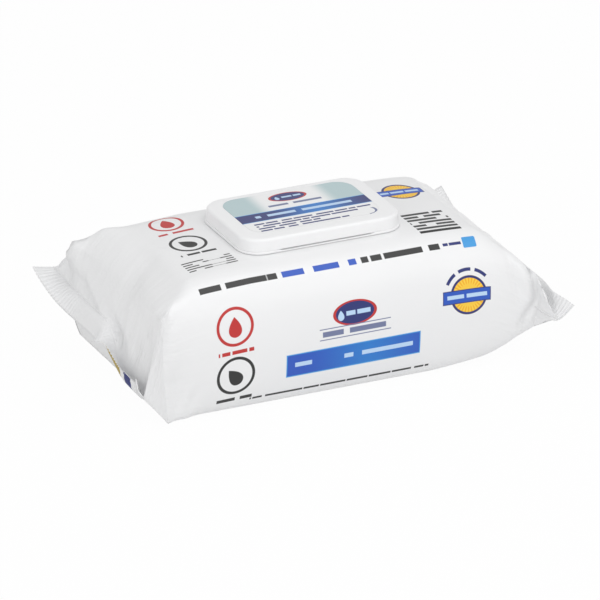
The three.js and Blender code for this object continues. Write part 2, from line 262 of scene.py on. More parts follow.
def sealCurve(end, column, size, share):
    rows = end["seal"]
    return easedThrough([row[0] for row in rows], [row[column] * size for row in rows], share)[:, 0]


def sealLine(end, share):
    out = end["side"] * (film["stackEnd"] + sealCurve(end, 3, film["sealOut"], share))
    across = sealCurve(end, 1, film["halfWidth"] + film["ear"], share)
    return np.stack([out, across, sealCurve(end, 2, film["height"], share)], axis=1)


def railStations(end, side):
    # guide points at four stations from the middle of the pack out to the corner ridge, for one side
    corner = end["front" if side < 0 else "back"]
    crest = end["crest"]["front" if side < 0 else "back"]
    inner = -(film["stackEnd"] - film["crownEnd"]) / film["ridge"]
    crown = film["crownHalf"] / film["halfWidth"]
    base = film["baseHalf"] / film["halfWidth"]
    belly = film["belly"] / film["height"]
    lift = end["footLift"]
    top, foot = np.array(corner["top"]), np.array(corner["foot"])
    middle = (top + foot) / 2 + np.array((0.04, 0.016, 0))
    keel = end["ridgeKeel"]
    # crown middle, crown edge, shoulder, belly, hip, foot edge, keel
    shares = [
        [(inner, 0, 1), (inner, crown, 1), (inner, 0.992, 1), (inner, 1, belly), (inner, 1, 0),
         (inner, base, 0), (inner, 0, 0)],
        [(-0.1, 0, 0.985), (-0.08, crown + 0.05, 0.975), (-0.04, 0.984, 0.961), (0, 0.992, belly),
         (0, 0.992, lift * 0.5), (0, base, lift * 0.6), (0, 0, 0)],
        [(0.3, 0, end["crest"]["middle"]), (0.42, crown + 0.21, crest), (0.46, 0.976, crest - 0.013),
         (0.5, 0.984, belly + 0.013), (0.46, 0.984, lift * 1.4), (0.42, base + 0.05, lift * 1.6),
         (0.4, 0, keel[1] * 0.2)],
        [(end["ridgeMiddle"][0], 0, end["ridgeMiddle"][1]), top, top * 0.6 + middle * 0.4, middle,
         foot * 0.6 + middle * 0.4, foot, (keel[0], 0, keel[1])],
    ]
    points = np.array([[tuple(rail) for rail in row] for row in shares], float)
    points[..., 0] = end["side"] * (film["stackEnd"] + points[..., 0] * film["ridge"])
    points[..., 1] *= side * film["halfWidth"]
    points[..., 2] *= film["height"]
    return points


def halfSections(stations, middle, edge, corner):
    # from the middle of the top (or bottom) round to the belly, at every station
    t = np.linspace(0, 1, film["flatCuts"] + 1)[None, :, None]
    flat = stations[:, middle, None] * (1 - t) + stations[:, edge, None] * t
    t = np.linspace(0, 1, film["cornerCuts"] + 1)[None, 1:, None]
    bend = (stations[:, edge, None] * (1 - t) ** 2 + stations[:, corner, None] * 2 * t * (1 - t)
            + stations[:, 3, None] * t ** 2)
    return np.concatenate([flat, bend], axis=1)


def allRound(half):
    # round the pack from the middle of the bottom, up the front, over the top and down the back
    frontUnder, frontOver = half(-1, False), half(-1, True)
    backOver, backUnder = half(1, True), half(1, False)
    return np.concatenate(
        [frontUnder, frontOver[:, -2::-1], backOver[:, 1:], backUnder[:, -2::-1]], axis=1)


def endSections(end):
    rails = {side: railStations(end, side) for side in (-1, 1)}
    flats = np.linspace(0, 1, film["flatCuts"] + 1)
    corners = np.linspace(0, 1, film["cornerCuts"] + 1)[1:]
    gusset = film["gusset"]
    shares = np.concatenate([flats * gusset, gusset + (film["sealed"] - gusset) * corners])
    sweep = np.concatenate([1 - flats ** 2, 0 * corners])

    def sealed(side, upper):
        line = sealLine(end, side * shares)
        line[:-1, 2] += (0.5 if upper else -0.5) * film["gather"]
        return line[None]

    def section(side, upper):
        return halfSections(rails[side], *((0, 1, 2) if upper else (6, 5, 4)))

    stations = np.concatenate([allRound(section), allRound(sealed)])
    # the top runs down to the seal in one sweep at its middle and turns sharply at the corner ridges
    swept = allRound(lambda side, upper: (sweep if upper else 0 * sweep)[None, :, None])
    toRidge = np.linspace(0, 3, film["endRows"] + 1)
    at = np.concatenate([toRidge, np.linspace(3, 4, film["closingRows"] + 1)[1:]])
    flatStations = stations.reshape(5, -1)
    smooth = easedThrough(range(5), flatStations, at).reshape(len(at), -1, 3)
    folded = easedThrough(range(4), flatStations[:4], np.minimum(at, 3)).reshape(len(at), -1, 3)
    past = np.clip(at - 3, 0, 1)[:, None, None]
    folded = folded * (1 - past) + stations[4][None] * past
    shut = allRound(lambda side, upper: sealLine(end, side * shares)[None])
    return np.concatenate([folded * (1 - swept) + smooth * swept, shut])


def filmGrid():
    left = endSections(ends["left"])[::-1]
    right = endSections(ends["right"])
    mix = np.linspace(0, 1, film["middleRows"] + 2)[1:-1, None, None]
    middle = left[-1][None] * (1 - mix) + right[0][None] * mix
    return np.concatenate([left, middle, right])


def arcLengths(points, axis):
    steps = np.linalg.norm(np.diff(points, axis=axis), axis=-1)
    zero = np.zeros_like(np.take(steps, [0], axis=axis))
    return np.concatenate([zero, np.cumsum(steps, axis=axis)], axis=axis)


def gridPiece(name, points, printed):
    # quads with their corners at the given points, closed where rows or columns meet, and their UV,
    # both in millimetres
    rows, columns = points.shape[:2]
    bm = bmesh.new()
    bmesh.ops.create_grid(bm, x_segments=columns - 1, y_segments=rows - 1, size=1)
    bm.verts.ensure_lookup_table()
    # create_grid lays its vertices row by row
    for vert, place in zip(bm.verts, points.reshape(-1, 3)):
        vert.co = Vector(place) * mm
    flat = printed.reshape(-1, 2)
    layer = bm.loops.layers.uv.new("filmPrint")
    for face in bm.faces:
        for loop in face.loops:
            loop[layer].uv = flat[loop.vert.index]
    bmesh.ops.remove_doubles(bm, verts=bm.verts, dist=0.00001)
    bmesh.ops.recalc_face_normals(bm, faces=bm.faces)
    if bm.calc_volume(signed=True) < 0:
        bmesh.ops.reverse_faces(bm, faces=bm.faces)
    for face in bm.faces:
        face.smooth = True
    return asObject(name, bm)


# Soft dents and creases in the film: place along and around in millimetres from the middle of the crown,
# half length along, half length around, lean of the crease, and depth inwards.
dents = [
    (102.6, -70, 3.6, 15, -0.1, 1.7), (96, -64, 5, 12, -0.2, 0.5),
    (-103.6, -101, 4.4, 15, 0, 2.1), (-101, -109, 2.4, 11, 0.39, 0.8), (-95, -112, 3.4, 9, 0.5, 0.7),
    (-141, -4, 5, 9, 0.35, 6.5), (-134, 8, 4, 8, 0.3, 1.2), (-112, -20, 9, 14, 0.6, -0.5),
    (-128, 60, 9, 10, 0.3, -4.6), (-142, 62, 4, 9, 0.2, 2.0), (-104, 40, 10, 9, -0.6, 0.5),
    (90, 30, 12, 8, 0.8, 0.4), (84, 52, 9, 10, -0.5, 0.6), (-84, 58, 9, 9, 0.4, 0.6),
    (60, 96, 22, 7, 0.5, 0.5), (-40, 104, 26, 6, -0.4, 0.5), (88, 98, 5, 14, 0.1, 0.9),
    (-92, 96, 5, 15, -0.15, 0.9),
]
# Longer creases: points along and around, half width, and depth inwards.
creases = [
    ([(-118, 70), (-132, 58), (-138, 50), (-136, 38), (-138, 24), (-143, 8)], 2.6, 1.5),
    ([(-128, 44), (-133, 30), (-135, 16)], 3.4, -1.1),
    ([(-108, -62), (-122, -48), (-146, -36)], 2.6, 0.8),
    ([(-118, -8), (-132, -14), (-150, -30)], 3.2, -0.9),
    ([(122, -60), (114, -74), (107, -92)], 2.6, 2.1),
    ([(112, 60), (124, 52), (138, 46)], 2.8, 0.9),
    ([(110, -12), (126, -4), (140, 0)], 3.0, -0.6),
    ([(106, 24), (122, 26), (138, 20)], 3.2, 0.7),
]
# Ripples that start and are full so far along, as waves of a length and a start.
gathers = {
    "from": 106, "full": 140, "depth": 0.9, "twist": 0.02,
    "waves": [(8.3, 0.4), (12.7, 1.9), (19.0, 2.7)],
}
# Over how many columns or rows the film comes to rest towards its edges and seals.
rest = {"columns": 6, "dentRows": 4, "rippleRows": 9}


def nearLine(line, along, around):
    # distance over the film from each point to a line of points
    nearest = np.full(along.shape, 1e6)
    for (u0, v0), (u1, v1) in zip(line, line[1:]):
        du, dv = u1 - u0, v1 - v0
        t = np.clip(((along - u0) * du + (around - v0) * dv) / (du * du + dv * dv), 0, 1)
        nearest = np.minimum(nearest, np.hypot(along - u0 - t * du, around - v0 - t * dv))
    return nearest


def wrinkled(points, along, around):
    # pushes the film in at its dents and gathers it in ripples that run out to the seals
    ahead = np.gradient(points, axis=0)
    across = np.gradient(points, axis=1)
    inward = np.cross(ahead, across)
    length = np.linalg.norm(inward, axis=-1)[..., None]
    inward = inward / np.maximum(length, 1e-6)
    middle = points.mean(axis=(0, 1))
    if np.sum(inward * (points - middle)) > 0:
        inward = -inward
    depth = np.zeros(points.shape[:2])
    for u, v, halfU, halfV, lean, deep in dents:
        offU = (along - u - lean * (around - v)) / halfU
        depth += deep * np.exp(-offU ** 2 - ((around - v) / halfV) ** 2)
    for line, width, deep in creases:
        depth += deep * np.exp(-(nearLine(line, along, around) / width) ** 2)
    # nothing moves at the seals or where the sheet ends
    rows, columns = (np.arange(count) for count in points.shape[:2])
    toSeal = np.minimum(rows, rows[::-1])[:, None]
    hold = np.clip(np.minimum(columns, columns[::-1]) / rest["columns"], 0, 1)
    depth *= np.clip(toSeal / rest["dentRows"], 0, 1)
    g = gathers
    near = np.clip((np.abs(along) - g["from"]) / (g["full"] - g["from"]), 0, 1)
    ripple = sum(np.sin(around * 2 * math.pi / span + start + g["twist"] * along)
                 for span, start in g["waves"])
    depth += (g["depth"] * near ** 2 * ripple / len(g["waves"])
              * np.clip(toSeal / rest["rippleRows"], 0, 1))
    return points + inward * (depth * hold)[..., None]


def makeFilmBody():
    points = filmGrid()
    middleRow = len(points) // 2
    crown = points.shape[1] // 2
    along = arcLengths(points, 0)
    along -= along[middleRow][None]
    around = arcLengths(points, 1)
    around -= around[:, crown][:, None]
    points = wrinkled(points, along, around)
    return gridPiece("filmBody", points, np.stack([along, around], axis=-1))


filmBody = makeFilmBody()
print("film drawn round the stack", len(filmBody.data.vertices))

# each fin starts at its root inside the film, comes out level, then tilts and is crimped from crimpFrom on
fin = {
    "rib": 2.2, "ribHeight": 0.5, "sheet": 0.34, "root": 2.0, "level": 0.35, "firstRow": 1.4,
    "crimpFrom": 1, "tiltStart": 0.4, "cutsPerRib": 4, "rows": 9, "uvGap": 3,
}
# where the left fin is folded over itself: place along the seal, half length, puff outwards, ribs left
lobe = {"left": (0.26, 0.26, 2.4, 0.12), "right": (0, 1, 0, 1)}


def makeFin(name, end, folded):
    ribs = round(2 * (film["halfWidth"] + film["ear"]) / fin["rib"])
    columns = ribs * fin["cutsPerRib"] + 1
    share = np.linspace(-1, 1, columns)
    root = sealLine(end, share)
    ahead = np.gradient(root, axis=0)
    ahead /= np.linalg.norm(ahead, axis=1)[:, None]
    turn = np.radians(sealCurve(end, 4, 1.0, share))
    wave = np.cos(np.arange(columns) * 2 * math.pi / fin["cutsPerRib"]) * fin["ribHeight"] / 2
    overLobe = np.exp(-((share - folded[0]) / folded[1]) ** 4)
    wave *= 1 - overLobe * (1 - folded[3])
    tilted = np.linspace(fin["firstRow"], film["finWidth"], fin["rows"])
    widths = np.concatenate([[-fin["root"], fin["level"]], tilted])
    place = root.copy()
    reached = 0.0
    upper, lower = [], []
    for width in widths:
        reach = width / film["finWidth"]
        eased = min(1.0, fin["tiltStart"] + reach) if width > fin["level"] else 0.0
        way = np.stack([end["side"] * np.cos(turn * eased), 0 * turn, np.sin(turn * eased)], axis=1)
        place = place + way * (width - reached)
        reached = width
        normal = np.cross(way, ahead)
        up = np.stack([-end["side"] * np.sin(turn * eased), 0 * turn, np.cos(turn * eased)], axis=1)
        normal *= np.sign(np.sum(normal * up, axis=1))[:, None]
        normal /= np.linalg.norm(normal, axis=1)[:, None]
        crimp = (wave if width > fin["crimpFrom"] else 0 * wave)[:, None]
        puff = folded[2] * overLobe * math.sin(math.pi * min(1, max(0, reach)))
        upper.append(place + normal * (crimp + fin["sheet"] / 2))
        lower.append(place + normal * (crimp - fin["sheet"] / 2 - puff[:, None]))
    loop = np.array(upper + lower[::-1] + upper[:1])
    # the upper side has its widths above 0 in the UV map, the lower side below
    gap = fin["uvGap"]
    down = np.concatenate([widths + gap, -widths[::-1] - gap, widths[:1] + gap])
    across = share * (film["halfWidth"] + film["ear"])
    printed = np.stack(np.broadcast_arrays(across[None, :], down[:, None]), axis=-1)
    obj = gridPiece(name, loop, printed)
    bm = bmesh.new()
    bm.from_mesh(obj.data)
    bmesh.ops.holes_fill(bm, edges=[e for e in bm.edges if e.is_boundary], sides=0)
    bmesh.ops.recalc_face_normals(bm, faces=bm.faces)
    bm.to_mesh(obj.data)
    bm.free()
    return obj


finLeft = makeFin("finLeft", ends["left"], lobe["left"])
finRight = makeFin("finRight", ends["right"], lobe["right"])
print("fins crimped")

# Printed shapes are masks worked out from distances in millimetres, 1 inside and 0 outside.
ink = {
    "white": (0.86, 0.862, 0.868), "red": (0.52, 0.022, 0.02), "black": (0.014, 0.014, 0.014),
    "navy": (0.012, 0.022, 0.16), "blue": (0.012, 0.085, 0.5), "sky": (0.05, 0.33, 0.72),
    "azure": (0.01, 0.19, 0.6), "pale": (0.5, 0.68, 0.9), "slate": (0.16, 0.19, 0.33),
    "yellow": (0.95, 0.63, 0.05),
    "orange": (0.9, 0.42, 0.01), "ochre": (0.42, 0.31, 0.07), "teal": (0.47, 0.6, 0.62),
}
soft = 0.16  # width of a printed edge


def disc(mat, u, v, at, radius, flat=1.0):
    du = u - at[0]
    dv = (v - at[1]) / flat
    return mat.math("SQRT", du * du + dv * dv) - radius


def ring(mat, u, v, at, radius, width, flat=1.0):
    return abs(disc(mat, u, v, at, radius - width / 2, flat)) - width / 2


def panel(mat, u, v, at, half, slant=0.0, corner=0.0):
    dv = v - at[1]
    du = abs(u - at[0] - dv * slant) - (half[0] - corner)
    dv = abs(dv) - (half[1] - corner)
    if not corner:
        return mat.math("MAXIMUM", du, dv)
    du = mat.math("MAXIMUM", du, 0.0)
    dv = mat.math("MAXIMUM", dv, 0.0)
    return mat.math("SQRT", du * du + dv * dv) - corner


def drop(mat, u, v, at, size, lean=0.0):
    # round below and pointed above, turned by lean degrees
    c, s = math.cos(math.radians(lean)), math.sin(math.radians(lean))
    du, dv = u - at[0], v - at[1]
    du, dv = du * c + dv * s, dv * c - du * s
    tall, wide = 2.6 * size, 2.4 * size
    trim = 0.35  # keeps the line above and below the shape outside it
    rise = mat.math("MAXIMUM", mat.math("MINIMUM", (dv + size) / tall, 1.0), 0.0)
    return abs(du) - mat.math("SQRT", rise) * (1 - rise) * wide + trim


def wordBars(mat, u, v, start, end, top, lines, pitch, fill=0.6, seed=0.0, rate=0.32):
    # lines of bars as long as words, from start to end, the first line's top edge at top
    rowShift, gapLevel, edge = 3.7, 0.62, 0.35
    rows = (top - v) / pitch
    row = mat.math("FLOOR", rows)
    lineMask = mat.step((abs(rows - row - 0.5) - fill / 2) * pitch, soft)
    place = mat.node("ShaderNodeCombineXYZ", {}, {0: u * rate, 1: row * rowShift + seed, 2: seed})
    words = mat.node("ShaderNodeTexNoise", {}, {"Vector": place, "Scale": 1.0, "Detail": 0.0})
    wordMask = mat.step((words - gapLevel) / (edge * rate), soft)
    middle = ((start + end) / 2, top - lines * pitch / 2)
    area = mat.step(panel(mat, u, v, middle, ((end - start) / 2, lines * pitch / 2)), soft)
    return area * lineMask * wordMask


def badge(mat, colour, u, v, at, radius):
    # a dial disc with short rays, a dark rim and a plain banner across it
    du, dv = u - at[0], v - at[1]
    away = mat.math("SQRT", du * du + dv * dv)
    turn = mat.math("ARCTAN2", dv, du)
    rays = mat.math("SINE", turn * 30.0) * mat.step(abs(away - radius * 0.74) - radius * 0.13, 0.6)
    colour = mat.blendColour(mat.step(away - radius, soft), colour, ink["yellow"])
    rayMask = mat.step(0.1 - rays, 0.25) * mat.step(away - radius, soft)
    colour = mat.blendColour(rayMask, colour, ink["orange"])
    colour = mat.blendColour(mat.step(abs(away - radius + 0.7) - 0.7, soft), colour, ink["navy"])
    banner = panel(mat, u, v, (at[0] - 1.2, at[1] - 0.3), (radius + 3, 3.4), 0.05)
    colour = mat.blendColour(mat.step(banner - 0.5, soft), colour, ink["navy"])
    colour = mat.blendColour(mat.step(banner, soft), colour, ink["blue"])
    bars = wordBars(mat, u, v, at[0] - radius - 2, at[0] + radius, at[1] + 1.6, 1, 3.6, 0.62, at[0], 0.22)
    return mat.blendColour(bars, colour, ink["pale"])


def filmPrint(mat, u, v, colour):
    def paint(mask, name):
        nonlocal colour
        colour = mat.blendColour(mask, colour, ink[name])

    # rings with an upright or a leaning drop, on the front and again on the top
    rings = (((-69, -74.2), 11, "red", 0, 1.0), ((-69.2, -102.7), 11.3, "black", 38, 2.0),
             ((-69, 31.6), 10, "red", 0, 3.0), ((-69.3, 1.1), 10.6, "black", 38, 4.0))
    for at, radius, name, lean, seed in rings:
        paint(mat.step(ring(mat, u, v, at, radius, 1.7), soft), name)
        paint(mat.step(drop(mat, u, v, (at[0], at[1] - 1.5), 4.6, lean), soft), name)
        under = at[1] - radius - 1.3
        paint(wordBars(mat, u, v, at[0] - 10.5, at[0] + 10.5, under, 1, 4.4, 0.5, seed, 0.2), name)

    # oval with a drop, the word line between two rules, and the wide band
    oval = disc(mat, u, v, (2.2, -78.8), 13.2, 0.54)
    paint(mat.step(oval, soft), "red")
    paint(mat.step(oval + 1.7, soft), "navy")
    paint(mat.step(drop(mat, u, v, (-6.2, -80), 2.4), soft), "pale")
    paint(wordBars(mat, u, v, -3, 11.5, -76.6, 1, 4.2, 0.6, 5.0, 0.2), "pale")
    for rule in (-85.5, -91.7):
        paint(mat.step(panel(mat, u, v, (2.1, rule), (21.4, 0.28)), soft), "slate")
    paint(wordBars(mat, u, v, -17.5, 21.5, -86.4, 1, 4.4, 0.7, 6.0, 0.16), "slate")
    band = panel(mat, u, v, (1.2, -103.5), (39.8, 6.2))
    glow = mat.step(abs(u - 10) - 18, 22.0)
    paint(mat.step(band - 0.6, soft), "sky")
    mid = mat.blendColour(glow, ink["blue"], ink["azure"])
    colour = mat.blendColour(mat.step(band, soft), colour, mid)
    paint(wordBars(mat, u, v, -34, 37, -101, 1, 4.6, 0.56, 7.3, 0.1), "pale")

    # dial badges, with an arc of short bars over the front one
    colour = badge(mat, colour, u, v, (71.2, -80.5), 11.2)
    du, dv = u - 71.2, v + 80.5
    turn = mat.math("ARCTAN2", dv, du)
    away = mat.math("SQRT", du * du + dv * dv)
    arc = mat.step(abs(away - 14.6) - 0.95, soft) * mat.step(abs(turn - 1.67) - 0.95, 0.02)
    gap = mat.step(mat.math("COSINE", turn * 9.0 + 0.6) - 0.72, 0.06)
    paint(arc * gap, "navy")
    colour = badge(mat, colour, u, v, (68, 19), 10.8)

    # small print on the top as plain bars
    paint(wordBars(mat, u, v, -84, -69, -21, 5, 2.7, 0.42, 8.0, 0.11), "black")
    paint(wordBars(mat, u, v, -62, -55, -21, 5, 2.7, 0.42, 9.0, 0.14), "black")
    for i in (1, 3, 4):
        paint(mat.step(panel(mat, u, v, (-66.5, -22.4 - i * 2.7), (5.5, 0.16)), soft), "black")
    paint(wordBars(mat, u, v, 52, 77, -12.5, 7, 4.05, 0.6, 10.0, 0.12), "black")
    for start, end, name in ((-85.7, -39.5, "black"), (-36.5, 8, "blue"), (11, 58.4, "black")):
        paint(wordBars(mat, u, v, start, end, -47.6, 1, 6.8, 0.54, 11.0 + start, 0.15), name)
    paint(mat.step(panel(mat, u, v, (76.6, -50.6), (4, 3.4), 0.1, 0.8), soft), "sky")
    paint(wordBars(mat, u, v, 60.6, 71.6, -49.3, 1, 2.6, 0.7, 13.0, 0.35), "navy")

    # line of small bars along the bottom edge of the front
    paint(wordBars(mat, u, v, -60, 48, -118.6, 1, 2.4, 0.6, 14.0, 0.3), "black")
    return colour


def filmMaterial():
    mat = Mat("filmWhite")
    place = objectPlace(mat)
    u, v = mat.coords(mat.node("ShaderNodeUVMap", {"uv_map": "filmPrint"}))
    # long fine creases run out to the seals, and broad soft ones cross the middle
    nearEnd = mat.step(96 - abs(u), 20.0)
    streakPlace = mat.node("ShaderNodeCombineXYZ", {}, {0: u * 0.022, 1: v * 0.16, 2: 0.0})
    streaks = mat.noise(streakPlace, 1.0, 3.0, 0.6)
    broad = mat.noise(place, 26.0, 2.0, 0.5)
    fine = mat.noise(place, 260.0, 3.0, 0.6)
    height = streaks * (nearEnd * 0.9 + 0.12) + broad * 0.5 + fine * 0.035
    bump = mat.node("ShaderNodeBump", {}, {"Strength": 0.6, "Distance": 0.0016, "Height": height})
    base = mat.blendColour(broad, (0.835, 0.838, 0.845), ink["white"])
    colour = filmPrint(mat, u, v, base)
    rough = 0.36 + (fine - 0.5) * 0.12
    return mat.finish(Base_Color=colour, Roughness=rough, Normal=bump, Coat_Weight=0.15,
                      Coat_Roughness=0.25)


def finMaterial():
    mat = Mat("finWhite")
    place = objectPlace(mat)
    x = mat.coords(place, 1000.0)[0]
    across, down = mat.coords(mat.node("ShaderNodeUVMap", {"uv_map": "filmPrint"}))
    fine = mat.noise(place, 500.0, 3.0, 0.6)
    bump = mat.node("ShaderNodeBump", {}, {"Strength": 0.35, "Distance": 0.0004, "Height": fine})
    colour = mat.blendColour(fine, (0.8, 0.803, 0.81), ink["white"])
    # the print runs out onto the left fin's outer side
    outer = mat.step(x + 100, 1.0) * mat.step(down + 3.4, 0.3)
    for at, half, name in ((-20, 8.5, "ochre"), (-41, 6, "navy")):
        slanted = abs(across - at - (down + 9) * 0.5) - half
        colour = mat.blendColour(outer * mat.step(slanted, 0.4), colour, ink[name])
    return mat.finish(Base_Color=colour, Roughness=0.4, Normal=bump)


filmWhite = filmMaterial()
finWhite = finMaterial()
for piece, material in ((filmBody, filmWhite), (finLeft, finWhite), (finRight, finWhite)):
    setMaterial(piece, material)
    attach(piece, "pack")
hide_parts("film_pouch")
print("film printed with plain shapes")

closure = {
    "length": 96, "depth": 64, "corner": 12.5, "cuts": 14, "frameLow": 77.85, "flange": 1.25, "margin": 0.6,
    "lidLow": 79.2, "lidHigh": 86.3, "lidRoll": 1.7, "wall": 1.3, "draft": 0.008,
    "labelLength": 78.4, "labelDepth": 50.4, "labelCorner": 10.2, "labelOffset": 2, "recess": 0.2,
    "openingLength": 68, "openingDepth": 34, "collarWall": 1.2, "collar": 3.4, "ringGap": 0.5,
    "ringWall": 1.0,
    "notchHalf": 29, "notchDrop": 0.75, "notchEnd": 3, "notchDepth": 1.5, "flangeRoll": 0.45,
    "collarRoll": 0.25, "catchLength": 14, "hingeY": 33.05, "hingeZ": 79.15,
}
# The straps bend round the hinge line through this turn, and fall in a little at their ends.
strap = {"spacing": 46, "length": 22, "turn": 150, "bulge": 1.15, "bulgeAtEnds": 0.9, "thickness": 0.35}


def bevelled(bm, edges, radius, segments):
    bmesh.ops.bevel(bm, geom=edges, offset=radius * mm, segments=segments, profile=0.5,
                    affect="EDGES", material=-1)


def roundedBlock(length, depth, corner, low, high, offset=0.0):
    # a block whose upright edges are rounded, in millimetres, as a bmesh of its own
    bm = bmesh.new()
    place = Matrix.Translation((0, offset * mm, (low + high) / 2 * mm))
    place = place @ Matrix.Diagonal((length * mm, depth * mm, (high - low) * mm, 1))
    bmesh.ops.create_cube(bm, size=1, matrix=place)
    upright = [e for e in bm.edges if abs(e.verts[0].co.z - e.verts[1].co.z) > 1e-6]
    bevelled(bm, upright, corner, closure["cuts"])
    bm.normal_update()
    return bm


def dropCaps(bm, top=True, bottom=True):
    caps = [f for f in bm.faces if (top and f.normal.z > 0.9999) or (bottom and f.normal.z < -0.9999)]
    bmesh.ops.delete(bm, geom=caps, context="FACES_ONLY")


def turnedOut(bm):
    bmesh.ops.reverse_faces(bm, faces=bm.faces)


def joined(*parts):
    # puts several bmeshes in the first one
    for part in parts[1:]:
        mesh = bpy.data.meshes.new("part")
        part.to_mesh(mesh)
        part.free()
        parts[0].from_mesh(mesh)
        bpy.data.meshes.remove(mesh)
    return parts[0]


def edgesAt(bm, height):
    return [e for e in bm.edges if all(abs(v.co.z - height * mm) < 1e-6 for v in e.verts)]


def bridgeAt(bm, height):
    # closes the gap between the two open outlines at one height
    bmesh.ops.bridge_loops(bm, edges=[e for e in edgesAt(bm, height) if e.is_boundary])


def rollEdge(bm, height, radius, segments):
    # rounds the edges at one height that stand beside an upright wall
    bm.normal_update()
    level = [e for e in edgesAt(bm, height) if any(abs(f.normal.z) < 0.5 for f in e.link_faces)]
    bevelled(bm, level, radius, segments)
    bm.normal_update()


def finished(name, bm):
    bmesh.ops.recalc_face_normals(bm, faces=bm.faces)
    for face in bm.faces:
        face.smooth = True
    sharp = math.radians(35)
    for edge in bm.edges:
        edge.smooth = edge.is_manifold and edge.calc_face_angle(0) < sharp
    return asObject(name, bm)


def wallRing(length, depth, low, high, wall):
    # an upright wall with full round ends, standing inside the given length and depth
    bm = roundedBlock(length, depth, depth / 2 - 0.05, low, high)
    dropCaps(bm)
    bmesh.ops.solidify(bm, geom=bm.faces[:], thickness=wall * mm)
    return bm


def makeLid():
    c = closure
    shell = roundedBlock(c["length"], c["depth"], c["corner"], c["lidLow"], c["lidHigh"])
    rollEdge(shell, c["lidHigh"], c["lidRoll"], 8)
    dropCaps(shell)
    recess = roundedBlock(c["labelLength"], c["labelDepth"], c["labelCorner"],
                          c["lidHigh"] - c["recess"], c["lidHigh"], c["labelOffset"])
    dropCaps(recess, bottom=False)
    turnedOut(recess)
    shell = joined(shell, recess)
    bridgeAt(shell, c["lidHigh"])
    # the walls lean in a little, as they leave the mould, and the recess keeps its shape
    recessX = (c["labelLength"] / 2 + 0.4) * mm
    recessY = (c["labelDepth"] / 2 + c["labelOffset"] + 0.3) * mm
    for vert in shell.verts:
        if abs(vert.co.x) >= recessX or abs(vert.co.y) >= recessY:
            rise = (vert.co.z / mm - c["lidLow"]) / (c["lidHigh"] - c["lidLow"])
            vert.co.xy *= 1 - c["draft"] * rise
    bmesh.ops.recalc_face_normals(shell, faces=shell.faces)
    bmesh.ops.solidify(shell, geom=shell.faces[:], thickness=c["wall"] * mm)
    roof = c["lidHigh"] - c["wall"] + 0.3
    grown = 2 * (c["collarWall"] + c["ringGap"] + c["ringWall"])
    sealRing = wallRing(c["openingLength"] + grown, c["openingDepth"] + grown, c["lidLow"] + 0.8, roof,
                        c["ringWall"])
    catchBead = roundedBlock(c["catchLength"] - 2, 0.9, 0.2, c["lidLow"] + 0.4, c["lidLow"] + 1.2,
                             -c["depth"] / 2 + c["wall"] + 0.35)
    lugs = []
    for side in (-1, 1):
        lug = roundedBlock(3, 2.2, 0.5, c["lidLow"] + 0.2, c["lidLow"] + 2.4, c["depth"] / 2 - 0.2)
        bmesh.ops.translate(lug, verts=lug.verts, vec=(side * 6 * mm, 0, 0))
        lugs.append(lug)
    return finished("lidShell", joined(shell, sealRing, catchBead, *lugs))


def makeFrame():
    c = closure
    low = c["frameLow"]
    top = low + c["flange"]
    collarTop = top + c["collar"]
    margin = 2 * c["margin"]
    flange = roundedBlock(c["length"] + margin, c["depth"] + margin, c["corner"] + c["margin"], low, top)
    rollEdge(flange, top, c["flangeRoll"], 4)
    dropCaps(flange)
    collarLength = c["openingLength"] + 2 * c["collarWall"]
    collarDepth = c["openingDepth"] + 2 * c["collarWall"]
    outer = roundedBlock(collarLength, collarDepth, collarDepth / 2 - 0.05, top, collarTop)
    dropCaps(outer)
    inner = roundedBlock(c["openingLength"], c["openingDepth"], c["openingDepth"] / 2 - 0.05, low,
                         collarTop)
    dropCaps(inner)
    turnedOut(inner)
    bm = joined(flange, outer, inner)
    for height in (low, top, collarTop):
        bridgeAt(bm, height)
    rollEdge(bm, collarTop, c["collarRoll"], 2)
    # a scoop under the lid's front edge for a fingertip
    outerHalf, innerHalf = c["notchHalf"], c["notchHalf"] - c["notchEnd"]
    for place in (-outerHalf, -innerHalf, innerHalf, outerHalf):
        bmesh.ops.bisect_plane(bm, geom=bm.verts[:] + bm.edges[:] + bm.faces[:], dist=1e-7,
                               plane_co=(place * mm, 0, 0), plane_no=(1, 0, 0))
    front = -(c["depth"] / 2 - c["notchDepth"]) * mm
    for vert in bm.verts:
        inScoop = abs(vert.co.x) < (innerHalf + 0.5) * mm and vert.co.y < front
        if inScoop and vert.co.z > (low + 0.4) * mm:
            vert.co.z = max(vert.co.z - c["notchDrop"] * mm, (low + 0.35) * mm)
    catchY = -c["depth"] / 2 + c["wall"] + 1.4
    catch = roundedBlock(c["catchLength"], 1.1, 0.3, top - 0.4, top + 2.2, catchY)
    return finished("closureFrame", joined(bm, catch))


def makeStrap(name, across):
    # the film-thin hinge: a moulded strip from the flange round the hinge line to the lid
    bm = bmesh.new()
    bmesh.ops.create_grid(bm, x_segments=10, y_segments=12, size=0.5)
    for vert in bm.verts:
        turn = vert.co.y * math.radians(strap["turn"])
        bulge = strap["bulge"] if abs(vert.co.y) < 0.49 else strap["bulgeAtEnds"]
        place = (across + vert.co.x * strap["length"], closure["hingeY"] - 0.9 + bulge * math.cos(turn),
                 closure["hingeZ"] + bulge * math.sin(turn))
        vert.co = Vector(place) * mm
    bmesh.ops.recalc_face_normals(bm, faces=bm.faces)
    bmesh.ops.solidify(bm, geom=bm.faces[:], thickness=strap["thickness"] * mm)
    return finished(name, bm)


lidShell = makeLid()
closureFrame = makeFrame()
hingeStraps = [makeStrap("hingeStrapLeft", -strap["spacing"] / 2),
               makeStrap("hingeStrapRight", strap["spacing"] / 2)]
print("closure moulded", len(lidShell.data.polygons), len(closureFrame.data.polygons))


